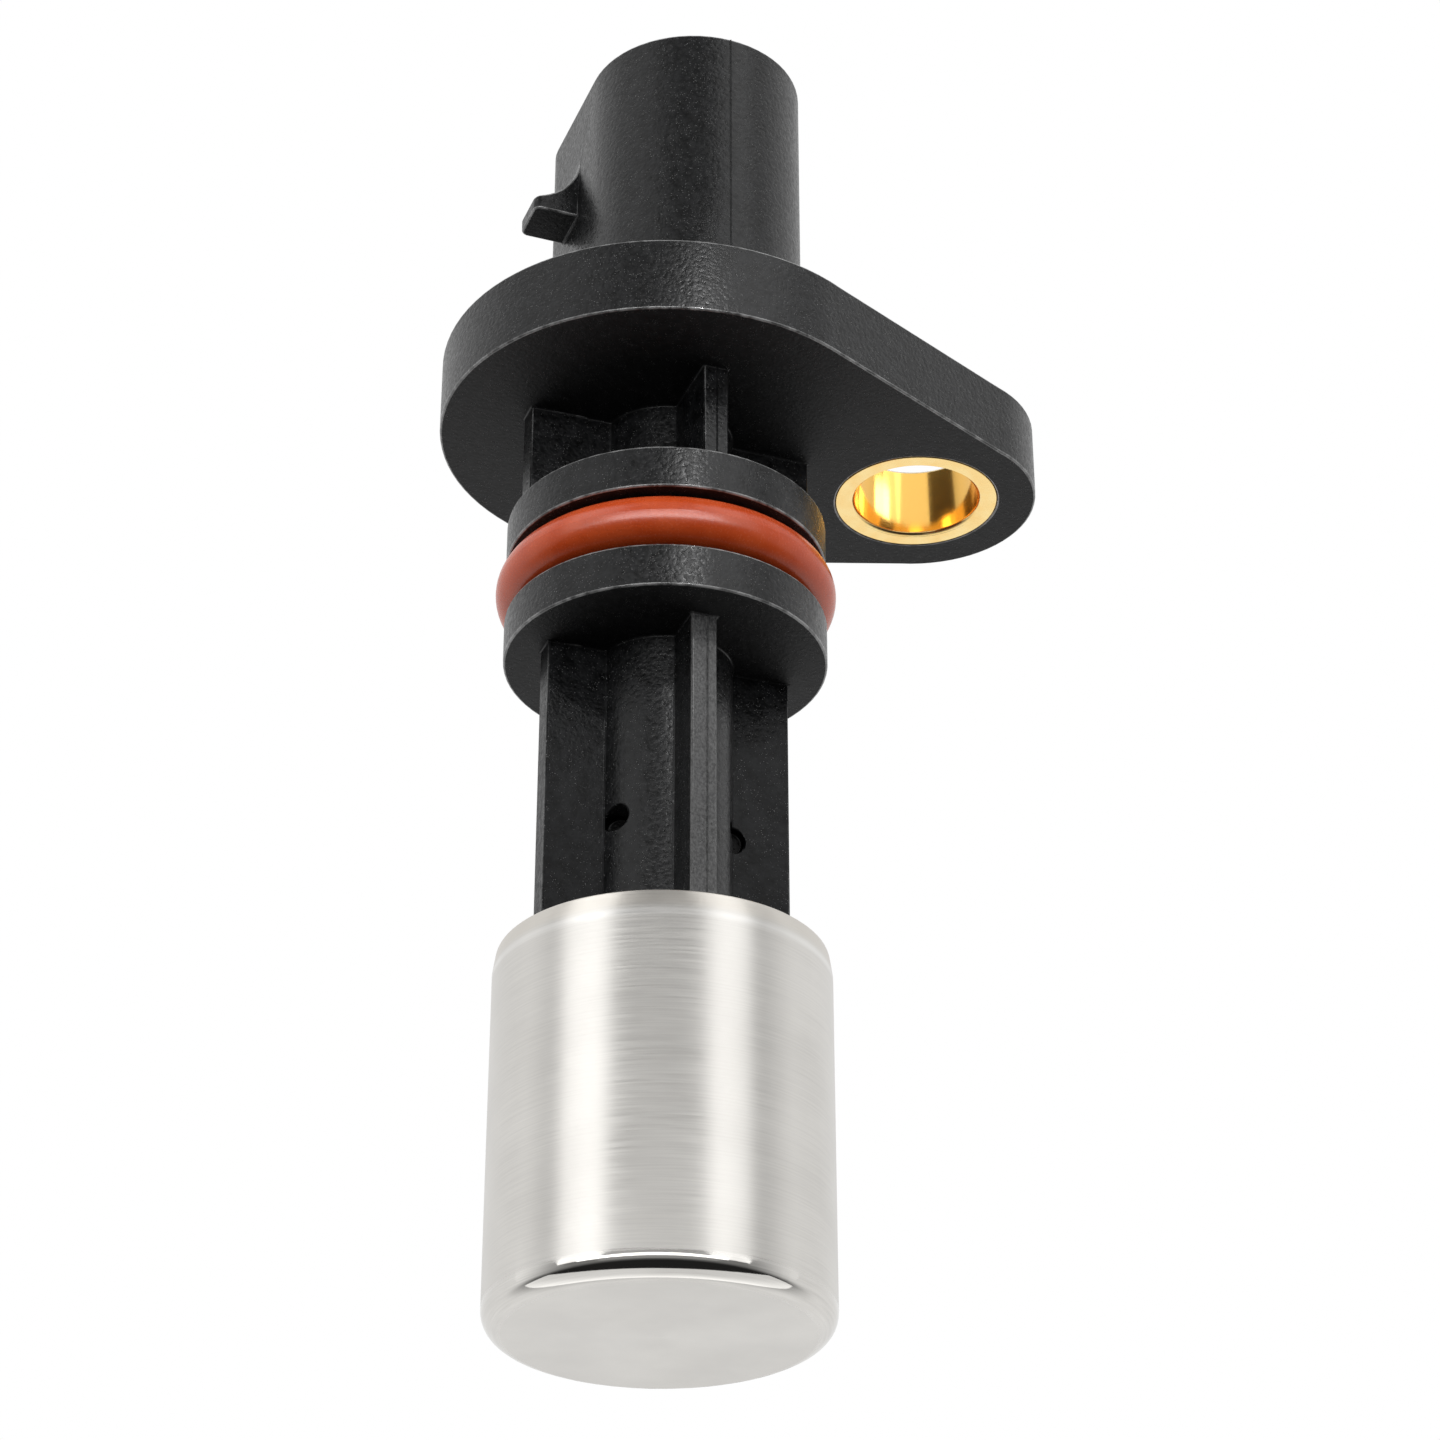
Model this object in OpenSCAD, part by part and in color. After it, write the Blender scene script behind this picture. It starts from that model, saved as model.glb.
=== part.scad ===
// Crankshaft position sensor: a moulded body with a flange, a connector and a ribbed shaft,
// an O-ring in its groove, a brass sleeve in the bolt ear and a drawn steel can at the tip.
// Millimetres. The origin is on the shaft's axis at the seat, the flange's underside.
// +Z points to the connector and +X to the bolt ear.

/* [Flange] */
// Diameter of the round flange
flange_d = 30.5; // [27:0.1:34]
// Thickness of the flange and its ear
flange_t = 5.4; // [4:0.1:7]
// Radius of the ear round the bolt hole
ear_r = 8.2; // [7:0.1:10]
// Distance from the shaft's axis to the bolt's axis
bolt_offset = 18.6; // [16:0.1:24]
// Distance of the straight sides inside the common tangents of the two round ends
side_inset = 0.02; // [0.01:0.01:0.1]

/* [Bolt sleeve] */
// Bore of the sleeve that takes the clamping load
sleeve_bore_d = 8.5; // [6.4:0.1:9]
// Wall of the sleeve
sleeve_wall = 1.3; // [1:0.1:1.6]
// Chamfer at both ends of the sleeve's bore
sleeve_chamfer = 0.3; // [0.1:0.05:0.5]

/* [Connector] */
// Turn of the connector and the ribs about the axis, away from the bolt ear
clock_angle = -2.8; // [-20:0.1:20]
// Width of the connector shroud across its flats
shroud_w = 14.5; // [13.6:0.1:17]
// Height of the shroud above the flange
shroud_h = 19.8; // [18:0.1:26]
// Length of the shroud's two flats
shroud_flat = 8.1; // [7.6:0.1:11]
// Distance of the flats' middle from the shaft's axis, towards the shroud's round end
shroud_offset = 0.8; // [0:0.1:1.2]
// Radius of the corners at the shroud's square end
shroud_corner_r = 3.4; // [2:0.1:4]
// Wall of the shroud
shroud_wall = 1.4; // [1:0.1:1.5]
// Height of the socket's floor above the flange
socket_floor_h = 3.2; // [2.6:0.1:6]

/* [Connector latch] */
// Height of the latch's flat underside above the flange
latch_z = 10.2; // [7:0.1:13]
// Height of the latch from its underside to its feathered top
latch_h = 4.9; // [3.6:0.1:6]
// Distance that the latch stands out of the flat
latch_reach = 3.1; // [2:0.1:3.6]
// Width of the latch along the flat
latch_w = 3.4; // [1.6:0.1:5]
// Distance of the latch's middle from the flats' middle, away from the round end
latch_offset = 0.6; // [0:0.1:1]
// Radius of the latch's hollow top
latch_curve_r = 4; // [3.7:0.1:5]
// Radius of the latch's two outer corners
latch_tip_r = 0.5; // [0.3:0.1:0.7]

/* [Terminals] */
// Thickness of the terminal strips
terminal_t = 0.8; // [0.5:0.05:1]
// Width of a terminal's blade in the socket
blade_w = 1.5; // [1:0.1:2.2]
// Distance between blades
blade_pitch = 3.6; // [3:0.1:3.9]
// Depth of the blades' tips below the shroud's rim
blade_inset = 5; // [4.5:0.1:7]
// Taper at a blade's tip
blade_taper = 0.6; // [0.3:0.1:1]
// Width of a terminal's lead in the shaft
lead_w = 1.2; // [0.8:0.1:1.5]
// Distance between leads
lead_pitch = 2.2; // [1.9:0.1:2.4]
// Length of a lead's tail that lies on the circuit board
tail_len = 3.6; // [2.6:0.1:4.2]

/* [Shaft] */
// Diameter of the two lands beside the O-ring
land_d = 21; // [20:0.1:24]
// Length of the ribbed neck between the flange and the upper land
neck_len = 7.3; // [6:0.1:12]
// Height of the upper land
upper_land_h = 3; // [2:0.1:4]
// Height of the lower land
lower_land_h = 3; // [2:0.1:4]
// Length of the ribbed shaft between the lower land and the can
shaft_len = 21; // [16:0.1:40]
// Diameter of the shaft's round core
core_d = 8.7; // [8:0.1:10]
// Thickness of the ribs
rib_t = 1.7; // [1.4:0.1:2.4]
// Radius of the neck's two side ribs at their tips
neck_rib_r = 9.8; // [7:0.1:10]
// Radius of the neck's front and back rib at their tips
neck_front_rib_r = 9.4; // [7:0.1:10]
// Radius of the shaft's two side ribs at their tips
shaft_rib_r = 8.2; // [6.5:0.1:8.4]
// Radius of the shaft's front and back rib at their tips
front_rib_r = 7.3; // [6.5:0.1:8.4]
// Diameter of the holes that the mould's core pins leave
pin_hole_d = 1.7; // [1:0.05:2]
// Height of the leaning holes above the can
pin_hole_h = 8.5; // [4:0.1:12]
// Height of the straight holes above the leaning ones
pin_step = 0.4; // [0:0.1:1]
// Distance of the two straight holes from the shaft's middle plane
straight_pin_x = 4.3; // [4:0.05:4.6]
// Distance of the straight holes' floors from the side ribs' middle plane
straight_pin_y = 0.3; // [0.2:0.05:0.5]
// Distance of the two leaning holes' floors from the shaft's middle plane
leaning_pin_x = 3; // [2.6:0.05:3.5]
// Distance of the leaning holes' floors from the side ribs' middle plane
leaning_pin_y = 0.25; // [0.2:0.05:0.6]
// Angle by which the leaning holes are turned out
pin_lean = 27; // [15:1:35]

/* [O-ring] */
// Thickness of the O-ring
ring_section = 3.5; // [2.4:0.05:3.6]
// Width of the O-ring's groove
groove_w = 4.3; // [3.8:0.1:5]
// Diameter of the groove's floor
groove_d = 15.2; // [14.4:0.1:16.4]

/* [Can] */
// Outer diameter of the steel can
can_d = 21; // [20:0.1:22]
// Length of the can
can_len = 24.1; // [22.5:0.1:30]
// Wall of the can
can_wall = 0.6; // [0.4:0.05:0.8]
// Outer radius at the can's closed end
can_corner_r = 1.4; // [0.9:0.1:2]
// Length of the can's mouth that is rolled inwards
lip_len = 1.3; // [1:0.1:2]
// Distance that the rolled mouth comes in
lip_draw = 0.2; // [0.1:0.02:0.3]
// Bore that is left open at the can's mouth
mouth_d = 17.8; // [17.2:0.1:18.6]
// Height of the body's collar inside the can
collar_h = 5.8; // [5:0.1:7]

/* [Can seal] */
// Thickness of the seal ring round the collar
can_seal_section = 1.7; // [1.2:0.1:2]
// Width of its groove
can_seal_groove_w = 2.1; // [2.05:0.05:2.6]

/* [Element carrier] */
// Gap between the carrier and the can's wall
carrier_gap = 0.3; // [0.1:0.05:0.6]
// Thickness of the web between the magnet and the board's pocket
carrier_web = 0.8; // [0.6:0.1:1.2]
// Depth of the board's pocket on the side of its leads
pocket_front = 5.4; // [5.2:0.1:6]
// Depth of the board's pocket on its other side
pocket_back = 4; // [3:0.1:5]
// Distance that the board's edges reach into their grooves
edge_engagement = 0.6; // [0.3:0.1:1]

/* [Sensing element] */
// Diameter of the bias magnet and its flux plate
magnet_d = 7; // [5:0.1:7.4]
// Height of the bias magnet
magnet_h = 4.5; // [3:0.1:5.5]
// Thickness of the flux plate
flux_plate_t = 0.5; // [0.3:0.1:0.8]
// Thickness of the insulating pad on the can's floor
tip_pad_t = 0.8; // [0.4:0.1:1]
// Width of the sensing chip across its row of leads
sensing_chip_w = 4.4; // [3.6:0.1:5]
// Depth of the sensing chip
sensing_chip_l = 3.6; // [3:0.1:4.4]
// Thickness of the sensing chip
sensing_chip_t = 1.1; // [0.9:0.1:1.4]
// Number of the sensing chip's leads
chip_leads = 4; // [3:1:4]
// Distance between the sensing chip's leads
chip_lead_pitch = 1; // [0.8:0.05:1.1]
// Width of a chip's lead
chip_lead_w = 0.4; // [0.25:0.05:0.5]
// Thickness of a chip's lead
chip_lead_t = 0.3; // [0.15:0.05:0.35]
// Distance of the sensing chip's formed leads from the axis
chip_lead_x = 4.6; // [4.4:0.1:5]

/* [Circuit board] */
// Width of the circuit board
board_w = 13; // [12.4:0.1:14]
// Thickness of the circuit board
board_t = 0.8; // [0.5:0.1:1.2]
// Width of the signal chip
signal_chip_w = 4.9; // [3.6:0.1:6]
// Length of the signal chip's body
signal_chip_l = 3; // [2.4:0.1:3.2]
// Thickness of the signal chip
signal_chip_t = 1.5; // [1:0.1:1.8]
// Length of a capacitor
capacitor_l = 3.2; // [2:0.1:3.4]
// Width of a capacitor
capacitor_w = 1.6; // [0.8:0.1:1.8]
// Thickness of a capacitor
capacitor_t = 1.2; // [0.6:0.1:1.6]
// Distance of the capacitors from the board's middle
capacitor_offset = 4.7; // [4.5:0.1:4.8]
// Length of the pull-up resistor
resistor_l = 2; // [1.4:0.1:2.6]
// Width of the pull-up resistor
resistor_w = 1.2; // [0.8:0.1:1.4]
// Thickness of the pull-up resistor
resistor_t = 0.5; // [0.3:0.05:0.7]

/* [Fits] */
// Clearance round what is moulded in or pressed in
insert_fit = 0.02; // [0.01:0.01:0.05]
// Clearance between pieces that are put together
assembly_fit = 0.05; // [0.02:0.01:0.1]

/* [Hidden] */
$fn = 96;

// Heights along the shaft, from the seat downwards
z_upper_land = -neck_len;
z_groove_top = z_upper_land - upper_land_h;
z_groove_floor = z_groove_top - groove_w;
z_lower_land = z_groove_floor - lower_land_h;
z_can_mouth = z_lower_land - shaft_len;
z_pin_holes = z_can_mouth + pin_hole_h;
z_tip = z_can_mouth - can_len;

// Heights in the connector, from the seat upwards
z_socket_floor = flange_t + socket_floor_h;
z_rim = flange_t + shroud_h;
z_blade_tip = z_rim - blade_inset;
z_jog_low = flange_t * 0.3;
z_jog_high = flange_t + socket_floor_h * 0.5;

// The shroud's round end and square end, across the shaft
shroud_r = shroud_w / 2;
y_flats = -shroud_offset;
y_round_end = y_flats - shroud_flat / 2;
y_corners = y_flats + shroud_flat / 2;
y_square_end = y_corners + shroud_corner_r;
y_blades = (y_round_end - shroud_r + y_square_end) / 2;

// The sleeve, the can and its collar
sleeve_r = sleeve_bore_d / 2 + sleeve_wall;
can_r = can_d / 2;
can_inner_r = can_r - can_wall;
collar_r = can_inner_r - assembly_fit;
z_bend = z_can_mouth - lip_len;
z_collar_top = z_can_mouth - can_wall - assembly_fit;
z_collar_low = z_collar_top - collar_h;
z_rib_foot = z_collar_top - collar_h / 2;
z_can_seal = (z_bend + z_collar_low) / 2;
can_seal_r = (can_seal_section - assembly_fit) / 2;

// The stack in the can, from its floor upwards
z_can_floor = z_tip + can_wall;
z_pad_low = z_can_floor + insert_fit;
z_carrier_low = z_pad_low + tip_pad_t + insert_fit;
z_flux_plate = z_carrier_low + sensing_chip_t + insert_fit;
z_magnet = z_flux_plate + flux_plate_t;
z_pocket = z_magnet + magnet_h + assembly_fit + carrier_web;
carrier_r = can_inner_r - carrier_gap;

// The board stands beside the leads, with its lower edge on the carrier
board_x = terminal_t / 2;
board_back_x = board_x + board_t;
z_board_low = z_pocket + assembly_fit;
z_board_top = z_collar_low - assembly_fit;
board_h = z_board_top - z_board_low;
z_tail = z_collar_low - tail_len;
z_chip_leads = z_board_low + chip_lead_w * 2;

// Turns what belongs to the connector and the ribs about the shaft's axis
module clocked() {
    rotate([0, 0, clock_angle])
        children();
}

// A round bar along Z from z_low to z_high
module bar(d, z_low, z_high) {
    translate([0, 0, z_low])
        cylinder(d = d, h = z_high - z_low);
}

// A block from one corner to the opposite one
module block(low, high) {
    translate(low)
        cube(high - low);
}

// A ring of round section about the shaft's axis
module ring(inner_r, section_r, z) {
    translate([0, 0, z])
        rotate_extrude()
            translate([inner_r + section_r, 0])
                circle(r = section_r);
}

// The flange's outline: a large and a small round end with straight sides
module flange_outline() {
    flange_r = flange_d / 2;
    lean = acos((flange_r - ear_r) / bolt_offset);
    outward = [cos(lean), sin(lean)];
    big = (flange_r - side_inset) * outward;
    small = [bolt_offset, 0] + (ear_r - side_inset) * outward;
    circle(r = flange_r);
    translate([bolt_offset, 0])
        circle(r = ear_r);
    polygon([big, [big.x, -big.y], [small.x, -small.y], small]);
}

// The shroud's outline, drawn in by the inset: one round end and one square end
module shroud_outline(inset = 0) {
    corner_r = shroud_corner_r - inset;
    half_w = shroud_r - inset;
    translate([0, y_round_end])
        circle(r = half_w);
    translate([-half_w, y_round_end])
        square([2 * half_w, shroud_flat]);
    translate([corner_r - half_w, y_corners])
        square([2 * (half_w - corner_r), corner_r]);
    for (side = [-1, 1])
        translate([side * (half_w - corner_r), y_corners])
            circle(r = corner_r);
}

// The latch's outline seen along its flat: level underside, hollow top
module latch_outline() {
    difference() {
        translate([-shroud_wall / 2, 0])
            square([latch_reach + shroud_wall / 2, latch_h]);
        translate([latch_curve_r, latch_h])
            circle(r = latch_curve_r);
    }
}

// The latch's outline seen from above: square at its root, rounded at its tip
module latch_plan() {
    corner_x = latch_reach - latch_tip_r;
    corner_y = latch_w / 2 - latch_tip_r;
    translate([-shroud_wall / 2, -latch_w / 2])
        square([shroud_wall / 2 + corner_x, latch_w]);
    translate([corner_x, -corner_y])
        square([latch_tip_r, 2 * corner_y]);
    for (side = [-1, 1])
        translate([corner_x, side * corner_y])
            circle(r = latch_tip_r);
}

// The latch on the connector's flat, with its tip along +X and its underside at zero
module latch() {
    intersection() {
        rotate([90, 0, 0])
            linear_extrude(latch_w, center = true)
                latch_outline();
        linear_extrude(latch_h)
            latch_plan();
    }
}

// A terminal's outline in its strip: tail, lead, jog and tapered blade
module terminal_outline(place, grow) {
    blade_y = y_blades + place * blade_pitch;
    lead_y = place * lead_pitch;
    half_blade = blade_w / 2 + grow;
    half_lead = lead_w / 2 + grow;
    polygon([
        [lead_y - half_lead, z_tail],
        [lead_y - half_lead, z_jog_low],
        [blade_y - half_blade, z_jog_high],
        [blade_y - half_blade, z_blade_tip - blade_taper],
        [blade_y - half_blade + blade_taper / 2, z_blade_tip],
        [blade_y + half_blade - blade_taper / 2, z_blade_tip],
        [blade_y + half_blade, z_blade_tip - blade_taper],
        [blade_y + half_blade, z_jog_high],
        [lead_y + half_lead, z_jog_low],
        [lead_y + half_lead, z_tail]
    ]);
}

// A terminal strip in the plane of the connector's long side
module terminal_strip(place, grow = 0) {
    rotate([90, 0, 90])
        linear_extrude(terminal_t + 2 * grow, center = true)
            terminal_outline(place, grow);
}

// The cross-section of the shaft: a round core with four ribs
module rib_section(side_r, front_r) {
    circle(d = core_d);
    square([2 * side_r, rib_t], center = true);
    square([rib_t, 2 * front_r], center = true);
}

// The collar that the can is rolled over, with the groove of its seal
module collar() {
    difference() {
        union() {
            bar(2 * collar_r, z_collar_low, z_bend);
            translate([0, 0, z_bend])
                cylinder(
                    r1 = collar_r,
                    r2 = collar_r - lip_draw * (z_collar_top - z_bend) / lip_len,
                    h = z_collar_top - z_bend
                );
        }
        translate([0, 0, z_can_seal - can_seal_groove_w / 2])
            difference() {
                cylinder(r = can_r, h = can_seal_groove_w);
                translate([0, 0, -1])
                    cylinder(r = can_inner_r - can_seal_section - assembly_fit, h = can_seal_groove_w + 2);
            }
    }
}

// Everything of the body that lies below the flange
module shaft() {
    clocked() {
        translate([0, 0, z_upper_land - upper_land_h / 2])
            linear_extrude(upper_land_h / 2 + neck_len + flange_t / 2)
                rib_section(neck_rib_r, neck_front_rib_r);
        translate([0, 0, z_rib_foot])
            linear_extrude(z_lower_land + lower_land_h / 2 - z_rib_foot)
                rib_section(shaft_rib_r, front_rib_r);
    }
    bar(land_d, z_groove_top, z_upper_land);
    bar(groove_d, z_groove_floor - lower_land_h / 2, z_groove_top + upper_land_h / 2);
    bar(land_d, z_lower_land, z_groove_floor);
    collar();
}

// The connector: shroud and latch
module connector() {
    translate([0, 0, flange_t / 2])
        linear_extrude(flange_t / 2 + shroud_h)
            shroud_outline();
    translate([-shroud_r, y_flats + latch_offset, flange_t + latch_z])
        mirror([1, 0, 0])
            latch();
}

// A hole that a core pin leaves: it opens to the front, turned out by the lean
module pin_hole(floor_x, floor_y, z, lean) {
    translate([floor_x, floor_y, z])
        rotate([90, 0, lean])
            cylinder(d = pin_hole_d, h = land_d / 2);
}

// The body, moulded in one piece round the sleeve and the terminals
module housing() {
    color("#2a2c2f")
        difference() {
            union() {
                linear_extrude(flange_t)
                    flange_outline();
                clocked()
                    connector();
                shaft();
            }
            translate([bolt_offset, 0, -1])
                cylinder(r = sleeve_r + insert_fit, h = flange_t + 2);
            clocked() {
                translate([0, 0, z_socket_floor])
                    linear_extrude(shroud_h)
                        shroud_outline(shroud_wall);
                for (place = [-1:1])
                    terminal_strip(place, insert_fit);
                for (turn = [0, 180])
                    rotate([0, 0, turn]) {
                        pin_hole(straight_pin_x, -straight_pin_y, z_pin_holes + pin_step, 0);
                        pin_hole(-leaning_pin_x, -leaning_pin_y, z_pin_holes, -pin_lean);
                    }
            }
        }
}

// Sleeve that keeps the bolt's load off the plastic
module compression_sleeve() {
    bore_r = sleeve_bore_d / 2;
    color("#d9a441")
        translate([bolt_offset, 0, 0])
            rotate_extrude()
                polygon([
                    [bore_r + sleeve_chamfer, 0],
                    [sleeve_r, 0],
                    [sleeve_r, flange_t],
                    [bore_r + sleeve_chamfer, flange_t],
                    [bore_r, flange_t - sleeve_chamfer],
                    [bore_r, sleeve_chamfer]
                ]);
}

// Seal in the engine block's bore, stretched on its groove's floor
module o_ring() {
    color("#b8512f")
        ring(groove_d / 2 + insert_fit, ring_section / 2, (z_groove_top + z_groove_floor) / 2);
}

// Half of a cup's section, with a rounded corner at the closed end and a mouth drawn in
module cup_section(r, z_low, corner, z_mouth) {
    translate([0, z_low + corner])
        square([r, z_bend - z_low - corner]);
    translate([0, z_low])
        square([r - corner, corner + 1]);
    translate([r - corner, z_low + corner])
        circle(r = corner);
    polygon([
        [0, z_bend],
        [r, z_bend],
        [r - lip_draw * (z_mouth - z_bend) / lip_len, z_mouth],
        [0, z_mouth]
    ]);
}

// Deep-drawn can, rolled over the collar at its mouth
module sensor_can() {
    color("#c9cacb")
        rotate_extrude()
            intersection() {
                difference() {
                    cup_section(can_r, z_tip, can_corner_r, z_can_mouth);
                    cup_section(can_inner_r, z_can_floor, can_corner_r - can_wall, z_can_mouth - can_wall);
                    translate([0, z_bend])
                        square([mouth_d / 2, lip_len + 1]);
                }
                translate([0, z_tip])
                    square([can_d, can_len]);
            }
}

// Ring between the collar and the can
module can_seal() {
    color("#3a3a3c")
        ring(can_inner_r - can_seal_section, can_seal_r, z_can_seal);
}

module supply_terminal() {
    color("#c8a97e")
        clocked()
            terminal_strip(-1);
}

module signal_terminal() {
    color("#c8a97e")
        clocked()
            terminal_strip(0);
}

module ground_terminal() {
    color("#c8a97e")
        clocked()
            terminal_strip(1);
}

// Space for the sensing chip and the run of its formed leads
module chip_space() {
    half_w = sensing_chip_w / 2 + assembly_fit;
    lead_out = chip_lead_x + chip_lead_t + assembly_fit;
    lead_in = chip_lead_x - assembly_fit;
    block(
        [-lead_out, -half_w, z_carrier_low - 1],
        [sensing_chip_l / 2 + assembly_fit, half_w, z_flux_plate + insert_fit]
    );
    block([-lead_out, -half_w, z_carrier_low - 1], [-lead_in, half_w, z_pocket + 1]);
}

// Holder of the magnet, the chip and the board, set between the collar and the tip pad
module element_carrier() {
    half_slot = board_w / 2 + assembly_fit;
    half_pocket = board_w / 2 - edge_engagement;
    color("#3c4a52")
        clocked()
            difference() {
                bar(2 * carrier_r, z_carrier_low, z_collar_low - insert_fit);
                block([-pocket_front, -half_pocket, z_pocket], [pocket_back, half_pocket, z_collar_low]);
                block(
                    [board_x - assembly_fit, -half_slot, z_pocket],
                    [board_back_x + assembly_fit, half_slot, z_collar_low]
                );
                bar(magnet_d + 2 * assembly_fit, z_carrier_low - 1, z_magnet + magnet_h + assembly_fit);
                chip_space();
            }
}

module bias_magnet() {
    color("#6b6e72")
        bar(magnet_d, z_magnet, z_magnet + magnet_h);
}

// Soft iron disc that evens out the magnet's field over the chip
module flux_plate() {
    color("#9a9da0")
        bar(magnet_d, z_flux_plate, z_magnet);
}

// One formed lead of the sensing chip: out, up past the magnet and in to the board
module formed_lead() {
    half_w = chip_lead_w / 2;
    z_exit = z_carrier_low + sensing_chip_t / 2;
    lead_out = chip_lead_x + chip_lead_t;
    block([-lead_out, -half_w, z_exit], [-sensing_chip_l / 2, half_w, z_exit + chip_lead_t]);
    block([-lead_out, -half_w, z_exit], [-chip_lead_x, half_w, z_chip_leads + chip_lead_t]);
    block([-lead_out, -half_w, z_chip_leads], [board_x, half_w, z_chip_leads + chip_lead_t]);
}

module sensing_chip() {
    color("#1e1e20")
        clocked() {
            block(
                [-sensing_chip_l / 2, -sensing_chip_w / 2, z_carrier_low],
                [sensing_chip_l / 2, sensing_chip_w / 2, z_carrier_low + sensing_chip_t]
            );
            for (i = [0:chip_leads - 1])
                translate([0, (i - (chip_leads - 1) / 2) * chip_lead_pitch, 0])
                    formed_lead();
        }
}

// Insulating disc between the chip and the can's floor
module tip_pad() {
    color("#d8d2c0")
        bar(2 * (can_inner_r - can_corner_r), z_pad_low, z_pad_low + tip_pad_t);
}

module circuit_board() {
    color("#2f6b3f")
        clocked()
            block([board_x, -board_w / 2, z_board_low], [board_back_x, board_w / 2, z_board_top]);
}

// Amplifier and driver on the board's back, with a row of feet on both long sides
module signal_chip() {
    feet = 4;
    foot_pitch = signal_chip_w / feet;
    foot_len = signal_chip_l / 4;
    z_mid = (z_board_low + z_board_top) / 2 - resistor_w / 2;
    color("#1e1e20")
        clocked() {
            translate([board_back_x, -signal_chip_w / 2, z_mid - signal_chip_l / 2])
                cube([signal_chip_t, signal_chip_w, signal_chip_l]);
            for (i = [0:feet - 1])
                translate([
                    board_back_x,
                    (i - (feet - 1) / 2) * foot_pitch - chip_lead_w / 2,
                    z_mid - signal_chip_l / 2 - foot_len
                ])
                    cube([chip_lead_t, chip_lead_w, signal_chip_l + 2 * foot_len]);
        }
}

// A chip capacitor on the board's front, upright beside the leads
module capacitor(side) {
    color("#b59468")
        clocked()
            translate([
                board_x - capacitor_t,
                side * capacitor_offset - capacitor_w / 2,
                (z_board_low + z_board_top - capacitor_l) / 2
            ])
                cube([capacitor_t, capacitor_w, capacitor_l]);
}

module supply_capacitor() {
    capacitor(-1);
}

module output_capacitor() {
    capacitor(1);
}

// Resistor near the board's upper edge, on its back
module pull_up_resistor() {
    color("#2b2b2d")
        clocked()
            translate([board_back_x, -resistor_l / 2, z_board_top - assembly_fit - resistor_w])
                cube([resistor_t, resistor_l, resistor_w]);
}

housing();
compression_sleeve();
o_ring();
sensor_can();
can_seal();
supply_terminal();
signal_terminal();
ground_terminal();
element_carrier();
bias_magnet();
flux_plate();
sensing_chip();
tip_pad();
circuit_board();
signal_chip();
supply_capacitor();
output_capacitor();
pull_up_resistor();
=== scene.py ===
"""Looks of a crankshaft position sensor: finishes, fine moulding marks, studio light and camera.

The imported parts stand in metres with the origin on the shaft's axis at the flange's seat,
+Z towards the connector and +X towards the bolt ear. Names that end in _mm hold millimetres
and those that end in _deg hold degrees; other lengths are in metres.
"""

import logging
import math
from dataclasses import dataclass, field, replace
from enum import Enum
from typing import Optional, Sequence

import bmesh
import bpy
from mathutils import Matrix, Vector


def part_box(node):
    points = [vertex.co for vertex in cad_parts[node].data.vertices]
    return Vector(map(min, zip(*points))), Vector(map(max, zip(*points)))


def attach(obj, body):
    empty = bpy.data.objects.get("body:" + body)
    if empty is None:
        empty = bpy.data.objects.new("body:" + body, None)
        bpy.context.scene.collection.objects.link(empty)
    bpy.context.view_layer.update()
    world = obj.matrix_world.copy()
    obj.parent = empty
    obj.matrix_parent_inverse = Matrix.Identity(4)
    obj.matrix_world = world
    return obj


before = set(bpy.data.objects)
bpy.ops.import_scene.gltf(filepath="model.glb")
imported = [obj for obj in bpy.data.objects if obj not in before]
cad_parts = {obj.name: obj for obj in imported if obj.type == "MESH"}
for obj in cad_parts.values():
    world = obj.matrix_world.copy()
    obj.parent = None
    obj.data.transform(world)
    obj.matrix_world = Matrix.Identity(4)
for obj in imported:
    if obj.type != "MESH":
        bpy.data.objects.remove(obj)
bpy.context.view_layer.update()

LOG = logging.getLogger("sensor")
MM = 0.001

Triple = tuple[float, float, float]
Colour = Triple
Span = tuple[float, float]
Socket = bpy.types.NodeSocket

RISE: Span = (0.0, 1.0)
FALL: Span = (1.0, 0.0)
WHITE = (1.0, 1.0, 1.0, 1.0)

# Places of the Mix node's sockets: two inputs and the output for numbers, and those for colours.
NUMBER_INPUTS = (2, 3)
NUMBER_OUTPUT = 0
COLOUR_INPUTS = (6, 7)
COLOUR_OUTPUT = 2

# Pointiness of a flat face, and of an edge that counts in full.
EDGE_BEND: Span = (0.5, 0.52)


@dataclass(frozen=True)
class Pattern:
    """A noise pattern on a surface.

    Attributes:
        waves: Waves in a millimetre.
        octaves: Octaves of finer noise.
        cut: Range of the noise over which its effect runs from one end to the other.
        stretch: Factor on each axis, larger for shorter waves, or None for even waves.
    """

    waves: float
    octaves: float = 2.0
    cut: Span = (0.3, 0.7)
    stretch: Optional[Triple] = None


@dataclass(frozen=True)
class Zone:
    """A zone of a moulding whose skin differs.

    Attributes:
        way: Level direction across the zone.
        along_mm: Limits along that direction.
        heights_mm: Limits above the seat.
        reach_mm: Limit of the distance from the axis.
    """

    way: Triple
    along_mm: Span
    heights_mm: Span
    reach_mm: float = 30.0


class Slot(Enum):
    """Material slots of the record."""

    HOUSING = "housing_plastic"


class Grain(Enum):
    """Directions in which a metal's working marks run, each with its pattern."""

    ROUND_AXIS = Pattern(1.0, 4.0, stretch=(0.5, 0.5, 16.0))
    ALONG_AXIS = Pattern(1.0, 4.0, stretch=(9.0, 9.0, 0.5))


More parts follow.
